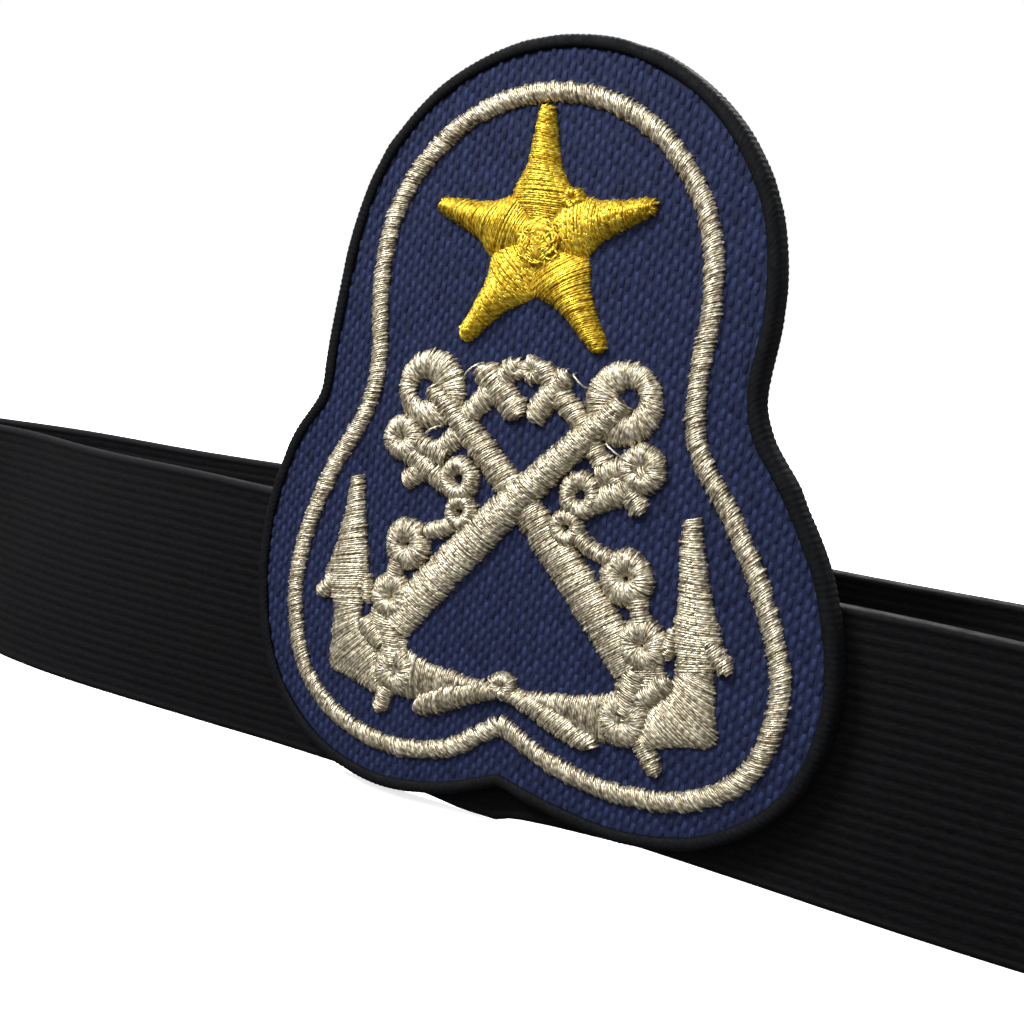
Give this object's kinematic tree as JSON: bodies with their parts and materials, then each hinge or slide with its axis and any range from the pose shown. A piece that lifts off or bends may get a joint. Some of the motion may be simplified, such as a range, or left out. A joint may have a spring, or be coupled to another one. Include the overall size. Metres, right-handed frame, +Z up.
{
  "type": "elastic cap band with embroidered badge",
  "caption": "Closed band of black ribbed elastic with a padded, rimmed cap badge sewn to its front, embroidered with a gold star over two crossed silver anchors and rope.",
  "frame": {"origin": "middle of the whole object in plan, at the height of the band's lower edge", "axes": "+X to the viewer's right along the flattened band, -Y the badge's front, +Z up"},
  "size_m": [0.229, 0.0324, 0.0825],
  "materials": {
    "black_elastic": "ribbed woven elastic, matt",
    "black_sewing_thread": "twisted polyester thread, soft sheen",
    "black_felt": "pressed felt, matt",
    "grey_board": "fibreboard, matt",
    "white_foam": "thin soft foam, matt",
    "navy_cloth": "twill cloth, soft sheen",
    "black_rim_thread": "overlocked thread, soft sheen",
    "silver_thread": "metallic embroidery thread, satin stitch",
    "gold_thread": "metallic embroidery thread, satin stitch",
    "yellow_felt": "felt underlay, matt"
  },
  "bodies": {
    "root": {"backing_felt": "black_felt", "badge_tacking_stitches": "black_sewing_thread", "edge_binding": "black_rim_thread", "elastic_band": "black_elastic", "foam_padding": "white_foam", "ground_cloth": "navy_cloth", "over_anchor_bill": "silver_thread", "over_anchor_inner_arm": "silver_thread", "over_anchor_outer_fluke": "silver_thread", "over_anchor_ring": "silver_thread", "over_anchor_shank": "silver_thread", "over_anchor_stock": "silver_thread", "rear_seam_stitches": "black_sewing_thread", "rope_crossing": "silver_thread", "rope_left": "silver_thread", "rope_right": "silver_thread", "silver_outline": "silver_thread", "star_arm_left": "gold_thread", "star_arm_lower_left": "gold_thread", "star_arm_lower_right": "gold_thread", "star_arm_right": "gold_thread", "star_arm_top": "gold_thread", "star_boss": "gold_thread", "star_padding": "yellow_felt", "stiffener_board": "grey_board", "under_anchor_bill": "silver_thread", "under_anchor_inner_arm": "silver_thread", "under_anchor_outer_fluke": "silver_thread", "under_anchor_ring": "silver_thread", "under_anchor_shank": "silver_thread", "under_anchor_stock": "silver_thread"}
  },
  "joints": []
}
